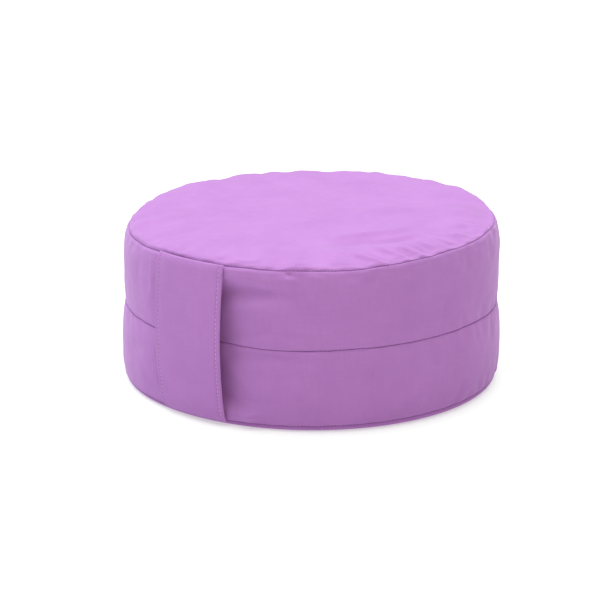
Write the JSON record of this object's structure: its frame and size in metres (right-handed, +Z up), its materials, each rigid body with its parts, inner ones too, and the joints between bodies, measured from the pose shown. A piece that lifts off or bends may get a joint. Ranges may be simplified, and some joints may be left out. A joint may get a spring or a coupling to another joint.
{
  "type": "zafu meditation cushion",
  "caption": "Round firm filled floor cushion of woven cotton with a flat crowned top, a seam round its waist and a wide carrying strap sewn down its side.",
  "frame": {"origin": "centre of the cushion's flat resting face, on the floor", "axes": "+Z up through the crown, -Y towards the middle of the carrying strap, +X to the right of a viewer who faces the strap"},
  "size_m": [0.336, 0.3402, 0.1481],
  "materials": {
    "orchid_cotton": "matt woven cotton, dyed orchid purple"
  },
  "bodies": {
    "root": {"cushion": "orchid_cotton", "carrying_strap": "orchid_cotton"}
  },
  "joints": []
}
